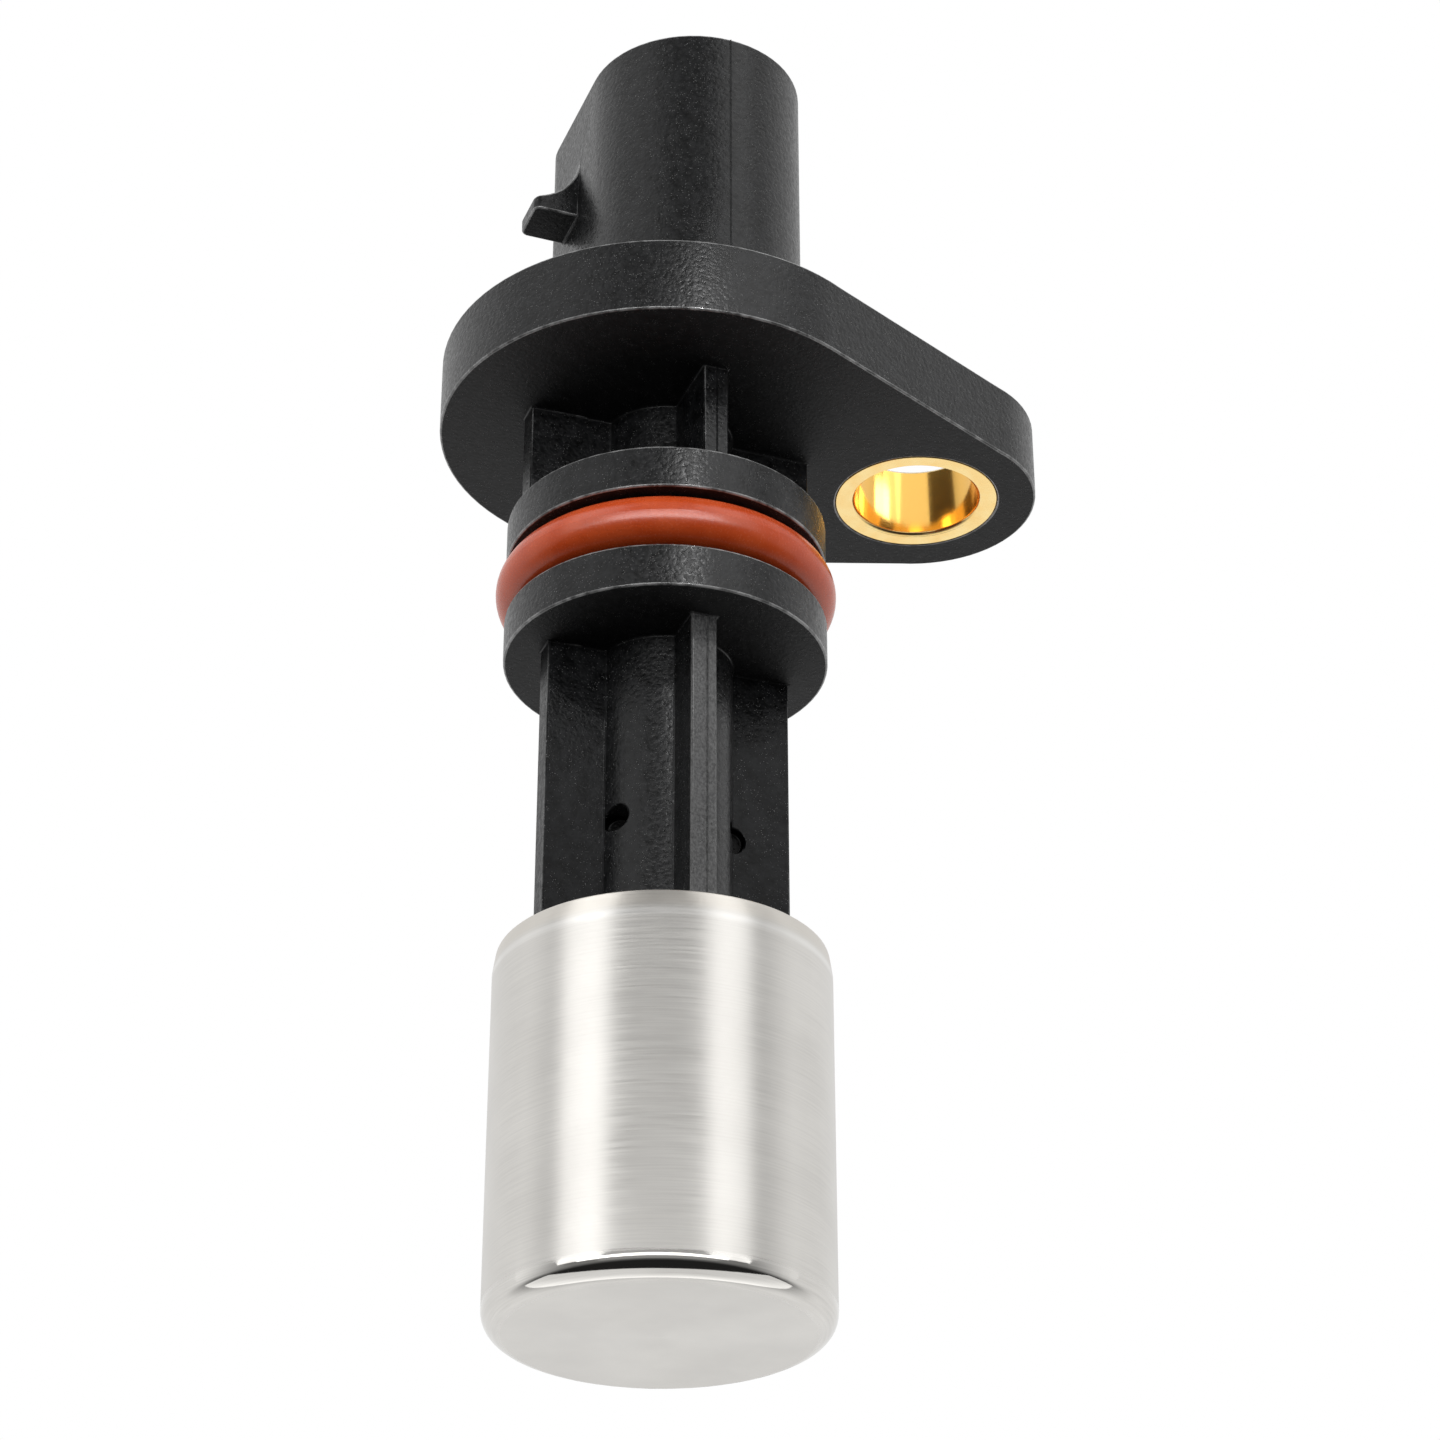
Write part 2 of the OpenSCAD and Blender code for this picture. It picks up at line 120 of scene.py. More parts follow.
class Aim(Enum):
    """What a light falls on: groups of pieces, or one part by its name."""

    ALL = "all pieces"
    PLASTIC = "the moulded body"
    OTHERS = "all but the moulded body"
    SLEEVE = "compression_sleeve"
    RING = "o_ring"
    CAN = "sensor_can"

    def is_part(self) -> bool:
        """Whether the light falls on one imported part."""
        return self.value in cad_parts


class NodeSheet:
    """A sheet of shader nodes, with short ways to add and join them."""

    def __init__(self, tree: bpy.types.NodeTree) -> None:
        """Start on the node tree of a material or the world."""
        self.tree = tree

    def add(self, kind: str, **settings: object) -> bpy.types.Node:
        """Add a node.

        Args:
            kind: Blender's name of the node type.
            settings: Properties to set on the node.

        Returns:
            The new node.
        """
        node = self.tree.nodes.new(kind)
        for key, value in settings.items():
            setattr(node, key, value)
        return node

    def join(self, source: Socket, target: Socket) -> None:
        """Link one socket to another."""
        self.tree.links.new(source, target)

    def feed(self, target: Socket, value: object) -> None:
        """Link a socket to the target, or set the target to a constant.

        Args:
            target: Input socket.
            value: Another socket, a number or a tuple of numbers.
        """
        if isinstance(value, bpy.types.NodeSocket):
            self.join(value, target)
        else:
            target.default_value = value

    def span(self, value: Socket, source: Span, target: Span = RISE, soft: bool = False) -> Socket:
        """Map a value's range to another one, clamped.

        Args:
            value: Value to map.
            source: Range to read.
            target: Range to give.
            soft: Whether the ends are eased.

        Returns:
            The mapped value.
        """
        node = self.add("ShaderNodeMapRange", interpolation_type="SMOOTHSTEP" if soft else "LINEAR")
        self.join(value, node.inputs["Value"])
        for name, number in zip(("From Min", "From Max", "To Min", "To Max"), (*source, *target)):
            node.inputs[name].default_value = number
        return node.outputs["Result"]

    def calc(self, operation: str, first: object, second: object = 0.0) -> Socket:
        """Work out a number from one or two others.

        Args:
            operation: Blender's name of the operation.
            first: Number or socket.
            second: Number or socket, left out where the operation takes one.

        Returns:
            The result.
        """
        node = self.add("ShaderNodeMath", operation=operation)
        self.feed(node.inputs[0], first)
        self.feed(node.inputs[1], second)
        return node.outputs["Value"]

    def between(self, share: Socket, first: object, second: object) -> Socket:
        """Number between two others.

        Args:
            share: 0 gives the first number, 1 the second.
            first: Number or socket.
            second: Number or socket.

        Returns:
            The number between them.
        """
        node = self.add("ShaderNodeMix", data_type="FLOAT")
        self.join(share, node.inputs["Factor"])
        for place, value in zip(NUMBER_INPUTS, (first, second)):
            self.feed(node.inputs[place], value)
        return node.outputs[NUMBER_OUTPUT]

    def blend(self, share: Socket, first: object, second: object) -> Socket:
        """Colour between two others.

        Args:
            share: 0 gives the first colour, 1 the second.
            first: Colour or colour socket.
            second: Colour or colour socket.

        Returns:
            The blended colour.
        """
        node = self.add("ShaderNodeMix", data_type="RGBA")
        self.join(share, node.inputs["Factor"])
        for place, value in zip(COLOUR_INPUTS, (first, second)):
            self.feed(node.inputs[place], value if isinstance(value, bpy.types.NodeSocket) else (*value, 1.0))
        return node.outputs[COLOUR_OUTPUT]


class FinishSheet(NodeSheet):
    """A material's sheet: one shader and patterns that are placed in the part's millimetres."""

    def __init__(self, name: str) -> None:
        """Start a material with one plain shader.

        Args:
            name: Name of the material.
        """
        self.material = bpy.data.materials.new(name)
        self.material.use_nodes = True
        super().__init__(self.material.node_tree)
        self.shader = next(n for n in self.tree.nodes if n.type == "BSDF_PRINCIPLED")
        place = self.add("ShaderNodeTexCoord")
        scale = self.add("ShaderNodeVectorMath", operation="SCALE")
        self.join(place.outputs["Object"], scale.inputs[0])
        scale.inputs["Scale"].default_value = 1.0 / MM
        self.points: Socket = scale.outputs["Vector"]

    def set(self, socket: str, value: object) -> None:
        """Set or link one of the shader's own inputs."""
        self.feed(self.shader.inputs[socket], value)

    def stretched(self, stretch: Sequence[float]) -> Socket:
        """Scale each axis of the surface points.

        Args:
            stretch: Factor on each axis.

        Returns:
            The scaled points.
        """
        node = self.add("ShaderNodeVectorMath", operation="MULTIPLY")
        self.join(self.points, node.inputs[0])
        node.inputs[1].default_value = tuple(stretch)
        return node.outputs["Vector"]

    def _points_of(self, pattern: Pattern) -> Socket:
        """Surface points, stretched where the pattern says so."""
        return self.points if pattern.stretch is None else self.stretched(pattern.stretch)

    def noise(self, pattern: Pattern) -> Socket:
        """Soft noise from 0 to 1.

        Args:
            pattern: Waves, octaves and stretch of the noise.

        Returns:
            The noise value.
        """
        node = self.add("ShaderNodeTexNoise")
        self.join(self._points_of(pattern), node.inputs["Vector"])
        node.inputs["Scale"].default_value = pattern.waves
        node.inputs["Detail"].default_value = pattern.octaves
        return node.outputs["Fac"]

    def cells(self, pattern: Pattern) -> Socket:
        """Distance to the nearest of scattered points, for flecks.

        Args:
            pattern: Closeness and stretch of the points.

        Returns:
            The distance.
        """
        node = self.add("ShaderNodeTexVoronoi")
        self.join(self._points_of(pattern), node.inputs["Vector"])
        node.inputs["Scale"].default_value = pattern.waves
        return node.outputs["Distance"]

    def height(self) -> Socket:
        """Measure the height above the seat.

        Returns:
            The height in millimetres.
        """
        parts = self.add("ShaderNodeSeparateXYZ")
        self.join(self.points, parts.inputs[0])
        return parts.outputs["Z"]

    def reach(self) -> Socket:
        """Measure the distance from the shaft's axis.

        Returns:
            The distance in millimetres.
        """
        level = self.add("ShaderNodeVectorMath", operation="LENGTH")
        self.join(self.stretched((1.0, 1.0, 0.0)), level.inputs[0])
        return level.outputs["Value"]

    def upward(self) -> Socket:
        """Measure how far the surface faces up.

        Returns:
            1 for a floor, 0 for a wall and -1 for a ceiling.
        """
        parts = self.add("ShaderNodeSeparateXYZ")
        self.join(self.add("ShaderNodeNewGeometry").outputs["True Normal"], parts.inputs[0])
        return parts.outputs["Z"]

    def ridges(self) -> Socket:
        """1 on edges that stand out, 0 on flats and in corners."""
        return self.span(self.add("ShaderNodeNewGeometry").outputs["Pointiness"], EDGE_BEND)

    def inside(self, value: Socket, limits: Span) -> Socket:
        """1 between two limits, 0 outside them."""
        above = self.calc("GREATER_THAN", value, limits[0])
        return self.calc("MULTIPLY", above, self.calc("LESS_THAN", value, limits[1]))

    def zone(self, limits: Zone) -> Socket:
        """Mask a zone of the part.

        Args:
            limits: Where the zone lies.

        Returns:
            1 in the zone, 0 outside it.
        """
        along = self.add("ShaderNodeVectorMath", operation="DOT_PRODUCT")
        self.join(self.points, along.inputs[0])
        along.inputs[1].default_value = limits.way
        slab = self.inside(along.outputs["Value"], limits.along_mm)
        layer = self.inside(self.height(), limits.heights_mm)
        near = self.calc("LESS_THAN", self.reach(), limits.reach_mm)
        return self.calc("MULTIPLY", self.calc("MULTIPLY", slab, layer), near)

    def bump(self, height: Socket, depth_mm: float, strength: float = 1.0) -> None:
        """Raise the surface's fine relief.

        Args:
            height: Relief from 0 to 1.
            depth_mm: Depth of the relief in millimetres.
            strength: Share of the relief that shows.
        """
        node = self.add("ShaderNodeBump")
        self.join(height, node.inputs["Height"])
        node.inputs["Distance"].default_value = depth_mm * MM
        node.inputs["Strength"].default_value = strength
        self.set("Normal", node.outputs["Normal"])


@dataclass(frozen=True)
class MouldedPlastic:
    """Glass-filled moulding compound: mottled, with short pale fibres and a fine grain.

    Undersides are duller than the rest, zones can be matt, carry a painted highlight or carry a
    painted shade, and an edge moulding is glossier and has a painted highlight on the edges that
    lie far enough from the axis.
    """

    name: str
    dark: Colour
    light: Colour
    mottle: Pattern = Pattern(1.3, 7.0, (0.36, 0.64))
    grain: Pattern = Pattern(3.6, 1.5)
    relief_mm: float = 0.04
    fibre: Colour = (0.42, 0.42, 0.42)
    fibre_share: float = 0.6
    flecks: Pattern = Pattern(7.0, cut=(0.1, 0.24), stretch=(1.0, 1.0, 0.75))
    fleck_patches: Pattern = Pattern(1.4, 3.0, (0.42, 0.6))
    roughness: Span = (0.26, 0.42)
    under_roughness: float = 0.66
    under_cut: Span = (-0.95, -0.8)
    gloss: float = 0.45
    matt_zones: tuple[Zone, ...] = ()
    matt_share: float = 0.4
    # Painted highlight: a lighter, mottled colour on a face where light falls.
    painted_highlight_zones: tuple[Zone, ...] = ()
    painted_highlight: Colour = (0.16, 0.16, 0.16)
    highlight_mottle: Pattern = Pattern(1.0, 5.0, (0.38, 0.64), (8.0, 8.0, 5.0))
    highlight_share: Span = (0.25, 0.75)
    # Painted shade: a near-black, dull colour laid where shade falls in hollows.
    painted_shade_zones: tuple[Zone, ...] = ()
    painted_shade: Colour = (0.001, 0.001, 0.001)
    painted_shade_gloss: float = 0.1
    # Painted highlight: a lighter colour on outer edges, which are also made glossier.
    polished_highlit_edges: bool = False
    painted_edge_highlight: Colour = (0.3, 0.3, 0.3)
    edge_reach_mm: Span = (6.0, 6.5)
    edge_highlight_cut: Span = (0.4, 0.6)
    edge_highlight_share: Span = (0.25, 1.0)
    edge_roughness: float = 0.15
    edge_gloss: float = 1.0

    def make(self) -> bpy.types.Material:
        """Build the material.

        Returns:
            The new material.
        """
        sheet = FinishSheet(self.name)
        mottle = sheet.noise(self.mottle)
        grain = sheet.noise(self.grain)
        patches = sheet.span(sheet.noise(self.fleck_patches), self.fleck_patches.cut)
        fleck = sheet.calc("MULTIPLY", sheet.span(sheet.cells(self.flecks), self.flecks.cut, FALL), patches)
        colour = self._colour(sheet, mottle, fleck)
        under = sheet.span(sheet.upward(), self.under_cut, FALL)
        skin = sheet.between(under, sheet.span(grain, self.grain.cut, self.roughness), self.under_roughness)
        gloss = self._gloss(sheet)
        if self.polished_highlit_edges:
            far = sheet.span(sheet.reach(), self.edge_reach_mm)
            ridges = sheet.calc("MULTIPLY", sheet.ridges(), far)
            # Painted highlight on the outer edges, mottled; the roughness and gloss below make them glossier.
            painted_edge_light = sheet.calc("MULTIPLY", ridges, sheet.span(mottle, self.edge_highlight_cut, self.edge_highlight_share))
            colour = sheet.blend(painted_edge_light, colour, self.painted_edge_highlight)
            skin = sheet.between(ridges, skin, self.edge_roughness)
            gloss = sheet.between(ridges, gloss, self.edge_gloss)
        sheet.set("Base Color", colour)
        sheet.set("Roughness", skin)
        sheet.set("Specular IOR Level", gloss)
        sheet.bump(sheet.calc("ADD", grain, fleck), self.relief_mm)
        return sheet.material

    def _colour(self, sheet: FinishSheet, mottle: Socket, fleck: Socket) -> Socket:
        """Colour of the compound with its fibres, its painted highlight and its painted shade.

        Args:
            sheet: The material's sheet.
            mottle: Noise of the mottle.
            fleck: 1 on a fibre, 0 beside it.

        Returns:
            The colour.
        """
        ground = sheet.blend(sheet.span(mottle, self.mottle.cut), self.dark, self.light)
        colour = sheet.blend(sheet.calc("MULTIPLY", fleck, self.fibre_share), ground, self.fibre)
        # Painted highlight, mottled, on the faces where light falls.
        for spot in self.painted_highlight_zones:
            highlight_mottle = sheet.span(sheet.noise(self.highlight_mottle), self.highlight_mottle.cut, self.highlight_share)
            colour = sheet.blend(sheet.calc("MULTIPLY", sheet.zone(spot), highlight_mottle), colour, self.painted_highlight)
        # Painted shade, near black, in the zones where shade falls.
        for spot in self.painted_shade_zones:
            colour = sheet.blend(sheet.zone(spot), colour, self.painted_shade)
        return colour

    def _gloss(self, sheet: FinishSheet) -> object:
        """Specular level, lower in matt zones and under the painted shade.

        Args:
            sheet: The material's sheet.

        Returns:
            A socket, or a number where the moulding has no such zones.
        """
        gloss: object = self.gloss
        for spot in self.matt_zones:
            gloss = sheet.between(sheet.zone(spot), gloss, self.matt_share * self.gloss)
        # The painted shade is made dull as well.
        for spot in self.painted_shade_zones:
            gloss = sheet.between(sheet.zone(spot), gloss, self.painted_shade_gloss)
        return gloss


@dataclass(frozen=True)
class BrushedSteel:
    """Drawn stainless steel, brushed round the axis and polished at its rounded closed end.

    The rolled lip above the bend carries a painted warm shade, and the bend a painted highlight.
    """

    name: str
    colour: Colour
    shade: Colour
    tip_z_mm: float
    corner_mm: float
    bend_z_mm: float
    streaks: Pattern = Pattern(1.0, 6.0, stretch=(0.2, 0.2, 9.0))
    cloud: Pattern = Pattern(0.2, 3.0)
    streak_share: float = 0.6
    tone_cut: Span = (0.34, 0.66)
    # Painted warm shade on the rolled lip.
    lip_shade: Colour = (0.66, 0.62, 0.56)
    lip_shade_share: float = 0.55
    lip_start_mm: Span = (-0.1, 0.6)
    # Painted highlight along the bend.
    painted_highlight: Colour = (0.92, 0.91, 0.89)
    highlight_share: float = 0.8
    highlight_drop_mm: float = 0.2
    highlight_width_mm: float = 0.4
    roughness: Span = (0.28, 0.4)
    polish: float = 0.07
    polish_start: Span = (0.01, 0.06)
    polish_end: Span = (0.9, 1.2)
    anisotropy: float = 0.5
    anisotropy_turn: float = 0.25
    relief_mm: float = 0.005
    relief_share: float = 0.12

    def make(self) -> bpy.types.Material:
        """Build the material.

        Returns:
            The new material.
        """
        sheet = FinishSheet(self.name)
        height = sheet.height()
        streaks = sheet.noise(self.streaks)
        corner = sheet.calc(
            "MULTIPLY",
            sheet.span(height, self._above_tip(self.polish_end), FALL),
            sheet.span(height, self._above_tip(self.polish_start)),
        )
        sheet.set("Base Color", self._colour(sheet, height, streaks))
        sheet.set("Metallic", 1.0)
        satin = sheet.span(streaks, self.streaks.cut, self.roughness)
        sheet.set("Roughness", sheet.between(corner, satin, self.polish))
        sheet.set("Anisotropic", self.anisotropy)
        sheet.set("Anisotropic Rotation", self.anisotropy_turn)
        tangent = sheet.add("ShaderNodeTangent", direction_type="RADIAL", axis="Z")
        sheet.set("Tangent", tangent.outputs["Tangent"])
        brushed = sheet.calc("MULTIPLY", streaks, sheet.calc("SUBTRACT", 1.0, corner))
        sheet.bump(brushed, self.relief_mm, self.relief_share)
        return sheet.material

    def _above_tip(self, shares: Span) -> Span:
        """Heights above the tip, given as shares of the corner's radius."""
        return self.tip_z_mm + shares[0] * self.corner_mm, self.tip_z_mm + shares[1] * self.corner_mm

    def _colour(self, sheet: FinishSheet, height: Socket, streaks: Socket) -> Socket:
        """Colour of the steel with its rolled lip and rubbed bend.

        Args:
            sheet: The material's sheet.
            height: Height above the seat.
            streaks: Noise of the brush marks.

        Returns:
            The colour.
        """
        cloud = sheet.noise(self.cloud)
        tone = sheet.calc(
            "ADD",
            sheet.calc("MULTIPLY", streaks, self.streak_share),
            sheet.calc("MULTIPLY", cloud, 1.0 - self.streak_share),
        )
        colour = sheet.blend(sheet.span(tone, self.tone_cut), self.shade, self.colour)
        # Painted warm shade on the rolled lip above the bend.
        lip_start = (self.bend_z_mm + self.lip_start_mm[0], self.bend_z_mm + self.lip_start_mm[1])
        lip_shading = sheet.span(height, lip_start, (0.0, self.lip_shade_share), soft=True)
        colour = sheet.blend(lip_shading, colour, self.lip_shade)
        # Painted highlight: a bright line along the bend.
        from_bend = sheet.calc("ABSOLUTE", sheet.calc("SUBTRACT", height, self.bend_z_mm - self.highlight_drop_mm))
        near_bend = sheet.span(from_bend, (0.0, self.highlight_width_mm), (self.highlight_share, 0.0), soft=True)
        return sheet.blend(sheet.calc("MULTIPLY", near_bend, cloud), colour, self.painted_highlight)


@dataclass(frozen=True)
class TurnedMetal:
    """Bright metal with fine tool marks in one direction.

    Upright walls can take a deeper colour, a painted reflection of the metal in itself, and a share of bare
    metal below 1 stands for a film.
    """

    name: str
    colour: Colour
    shade: Colour
    roughness: Span
    grain: Grain = Grain.ROUND_AXIS
    # Painted reflection: a deeper colour for upright walls.
    wall_reflection_tint: Optional[Colour] = None
    wall_cut: Span = (0.3, 0.6)
    bare: float = 1.0
    stain: Pattern = Pattern(0.8, 4.0, (0.35, 0.7))
    relief_mm: float = 0.004
    relief_share: float = 0.3

    def make(self) -> bpy.types.Material:
        """Build the material.

        Returns:
            The new material.
        """
        sheet = FinishSheet(self.name)
        marks = sheet.noise(self.grain.value)
        stain = sheet.span(sheet.noise(self.stain), self.stain.cut)
        colour = sheet.blend(stain, self.colour, self.shade)
        # Painted reflection: upright walls take a deeper colour for the metal reflected in itself.
        if self.wall_reflection_tint is not None:
            upright = sheet.span(sheet.calc("ABSOLUTE", sheet.upward()), self.wall_cut, FALL)
            colour = sheet.blend(upright, colour, self.wall_reflection_tint)
        sheet.set("Base Color", colour)
        sheet.set("Metallic", self.bare)
        sheet.set("Roughness", sheet.span(marks, self.grain.value.cut, self.roughness))
        sheet.bump(marks, self.relief_mm, self.relief_share)
        return sheet.material


@dataclass(frozen=True)
class MouldedRubber:
    """Satin rubber with a faint bloom and tiny pits."""

    name: str
    colour: Colour
    bloom: Colour
    cloud: Pattern = Pattern(0.5, 5.0, (0.38, 0.68))
    grain: Pattern = Pattern(6.0, 3.0)
    roughness: Span = (0.2, 0.3)
    gloss: float = 0.5
    relief_mm: float = 0.006
    relief_share: float = 0.4

    def make(self) -> bpy.types.Material:
        """Build the material.

        Returns:
            The new material.
        """
        sheet = FinishSheet(self.name)
        cloud = sheet.span(sheet.noise(self.cloud), self.cloud.cut)
        grain = sheet.noise(self.grain)
        sheet.set("Base Color", sheet.blend(cloud, self.colour, self.bloom))
        sheet.set("Roughness", sheet.span(grain, self.grain.cut, self.roughness))
        sheet.set("Specular IOR Level", self.gloss)
        sheet.bump(grain, self.relief_mm, self.relief_share)
        return sheet.material


@dataclass(frozen=True)
class PaleFloor:
    """Matt pale paint of the studio floor, with a faint cloud."""

    name: str = "floor_pale"
    colour: Colour = (0.86, 0.86, 0.85)
    light: Colour = (0.92, 0.92, 0.91)
    cloud: Pattern = Pattern(0.004, 3.0)
    roughness: float = 0.85

    def make(self) -> bpy.types.Material:
        """Build the material.

        Returns:
            The new material.
        """
        sheet = FinishSheet(self.name)
        sheet.set("Base Color", sheet.blend(sheet.noise(self.cloud), self.colour, self.light))
        sheet.set("Roughness", self.roughness)
        return sheet.material


@dataclass(frozen=True)
class EdgeRounding:
    """Small radius on a part's sharp edges.

    Attributes:
        width_mm: Width of the rounding.
        segments: Faces across the rounding.
        sharp_deg: Bend from which an edge is rounded.
        flat_deg: Bend below which faces are taken as one.
        weld_mm: Distance below which points are joined.
    """

    width_mm: float
    segments: int = 3
    sharp_deg: float = 50.0
    flat_deg: float = 1.5
    weld_mm: float = 0.001

    def apply(self, node: str, painted_edge_highlight: Optional[bpy.types.Material] = None) -> None:
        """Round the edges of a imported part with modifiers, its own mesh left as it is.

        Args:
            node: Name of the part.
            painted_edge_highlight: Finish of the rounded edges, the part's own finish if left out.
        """
        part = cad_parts[node]
        weld = part.modifiers.new("weld", "WELD")
        weld.merge_threshold = self.weld_mm * MM
        flat = part.modifiers.new("flat_faces", "DECIMATE")
        flat.decimate_type = "DISSOLVE"
        flat.angle_limit = math.radians(self.flat_deg)
        bevel = part.modifiers.new("edge_radius", "BEVEL")
        bevel.limit_method = "ANGLE"
        bevel.angle_limit = math.radians(self.sharp_deg)
        bevel.width = self.width_mm * MM
        bevel.segments = self.segments
        bevel.use_clamp_overlap = False
        if painted_edge_highlight is not None:
            part.data.materials.append(painted_edge_highlight)
            bevel.material = len(part.data.materials) - 1
        normals = part.modifiers.new("normals", "WEIGHTED_NORMAL")
        normals.keep_sharp = False


def dress(node: str, material: bpy.types.Material) -> None:
    """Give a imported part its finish.

    Args:
        node: Name of the part.
        material: Finish of the whole part.
    """
    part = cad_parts[node]
    part.data.materials.clear()
    part.data.materials.append(material)
    for face in part.data.polygons:
        face.use_smooth = True
    LOG.info("dressed %s with %s", node, material.name)


@dataclass
class PartingLine:
    """Fine raised seam that the two halves of the mould leave on an upright surface."""

    name: str
    foot: Vector
    top: Vector
    outward: Vector
    width_mm: float = 0.14
    height_mm: float = 0.11
    sunk_mm: float = 0.1

    def build(self, finish: bpy.types.Material) -> bpy.types.Object:
        """Make the seam as a closed bar of roof-shaped section.

        Args:
            finish: The body's finish.

        Returns:
            The new piece.
        """
        along = (self.top - self.foot).normalized()
        side = along.cross(self.outward).normalized() * (self.width_mm / 2 * MM)
        sunk = self.outward * (-self.sunk_mm * MM)
        ridge = self.outward * (self.height_mm * MM)
        section = (sunk - side, sunk + side, side, ridge, -side)
        mesh = bmesh.new()
        rings = [[mesh.verts.new(end + corner) for corner in section] for end in (self.foot, self.top)]
        count = len(section)
        for i in range(count):
            j = (i + 1) % count
            mesh.faces.new((rings[0][i], rings[0][j], rings[1][j], rings[1][i]))
        mesh.faces.new(rings[0][::-1])
        mesh.faces.new(rings[1])
        bmesh.ops.recalc_face_normals(mesh, faces=mesh.faces)
        data = bpy.data.meshes.new(self.name)
        mesh.to_mesh(data)
        mesh.free()
        data.materials.append(finish)
        piece = bpy.data.objects.new(self.name, data)
        bpy.context.scene.collection.objects.link(piece)
        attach(piece, "root")
        LOG.info("made %s", self.name)
        return piece


@dataclass
class MouldedBody:
    """The moulded body: connector, flange, lands, ribbed neck and shaft, with its mould's marks.

    The connector and the ribs are turned by clock_deg about the axis. Ribs and the connector's
    round end are given by their reach from the axis, and the pin holes by their heights above
    the can's mouth. The zones in which the skin differs reach a little past what they cover:
    side_rib_zone_mm is the width of the matt one over the side ribs, and hole_zone_mm the depth
    of the painted shade over the pin holes' floors, from the side ribs' middle plane.
    """

    clock_deg: float = -2.8
    flange_mm: float = 5.4
    round_end_mm: float = 12.1
    neck_rib_mm: float = 9.4
    neck_flank_mm: float = 4.0
    shaft_rib_mm: float = 7.3
    side_rib_zone_mm: float = 2.0
    rib_skin_mm: float = 0.2
    neck_mm: float = 7.3
    shaft_top_mm: float = -17.6
    can_mouth_mm: float = -38.6
    hole_heights_mm: Span = (7.6, 9.8)
    hole_zone_mm: float = 0.75
    hole_reach_mm: float = 6.0
    end_inset_mm: float = 0.1
    neck_seam_shift_mm: float = 0.05
    shaft_seam_shift_mm: float = 0.2
    edge_relief_mm: float = 0.01
    edges: EdgeRounding = EdgeRounding(0.14)
    finish: MouldedPlastic = MouldedPlastic(
        "housing_black", dark=(0.002, 0.0022, 0.0025), light=(0.0115, 0.012, 0.013)
    )

    def build(self) -> list[bpy.types.Object]:
        """Dress the moulding and add its parting lines.

        Returns:
            The moulding and the lines.
        """
        outward = (self._at(1.0, 0.0, 0.0) - self._at(0.0, 0.0, 0.0)).normalized()
        finish = self._zoned(tuple(outward))
        material = finish.make()
        dress("housing", material)
        # The edge finish carries a painted highlight on the rounded edges.
        edge_finish = replace(
            finish, name="housing_black_edges", polished_highlit_edges=True, relief_mm=self.edge_relief_mm
        )
        self.edges.apply("housing", edge_finish.make())
        return [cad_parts["housing"], *self._seams(outward, material)]

    def _at(self, reach_mm: float, shift_mm: float, z_mm: float) -> Vector:
        """Find a point in front of the axis, turned with the connector and the ribs.

        Args:
            reach_mm: Distance in front of the axis.
            shift_mm: Shift to the right.
            z_mm: Height above the seat.

        Returns:
            The point in metres.
        """
        turn = math.radians(self.clock_deg)
        x, y = shift_mm, -reach_mm
        return Vector((
            (x * math.cos(turn) - y * math.sin(turn)) * MM,
            (x * math.sin(turn) + y * math.cos(turn)) * MM,
            z_mm * MM,
        ))

    def _zoned(self, way: Triple) -> MouldedPlastic:
        """Finish with its zones: matt rib flanks, a painted highlight on the front rib and painted shade in
        the pin holes.

        Args:
            way: Direction in which the front ribs point.

        Returns:
            The finish of the whole moulding.
        """
        shaft = (self.can_mouth_mm, self.shaft_top_mm)
        neck = (self.end_inset_mm - self.neck_mm, -self.end_inset_mm)
        holes = (self.can_mouth_mm + self.hole_heights_mm[0], self.can_mouth_mm + self.hole_heights_mm[1])
        side_ribs = (-self.side_rib_zone_mm / 2, self.side_rib_zone_mm / 2)
        neck_flanks = (self.neck_rib_mm - self.neck_flank_mm, self.neck_rib_mm - self.rib_skin_mm)
        rib_front = (self.shaft_rib_mm - self.rib_skin_mm, self.shaft_rib_mm + self.rib_skin_mm)
        return replace(
            self.finish,
            matt_zones=(Zone(way, side_ribs, shaft), Zone(way, neck_flanks, neck)),
            # Painted highlight on the front face of the shaft's front rib.
            painted_highlight_zones=(Zone(way, rib_front, shaft),),
            # Painted shade over the pin holes' floors.
            painted_shade_zones=(Zone(way, (0.0, self.hole_zone_mm), holes, self.hole_reach_mm),),
        )

    def _seams(self, outward: Vector, material: bpy.types.Material) -> list[bpy.types.Object]:
        """Add the parting lines of the shroud, the neck and the shaft.

        Args:
            outward: Direction in which the front ribs point.
            material: The body's finish.

        Returns:
            The three lines.
        """
        rim_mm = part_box("housing")[1].z / MM
        runs = (
            ("parting_line_shroud", self.round_end_mm, 0.0, self.flange_mm, rim_mm),
            ("parting_line_neck", self.neck_rib_mm, self.neck_seam_shift_mm, -self.neck_mm, 0.0),
            ("parting_line_shaft", self.shaft_rib_mm, self.shaft_seam_shift_mm, self.can_mouth_mm,
             self.shaft_top_mm),
        )
        pieces = []
        for name, reach, shift, low, high in runs:
            foot = self._at(reach, shift, low + self.end_inset_mm)
            top = self._at(reach, shift, high - self.end_inset_mm)
            pieces.append(PartingLine(name, foot, top, outward).build(material))
        return pieces


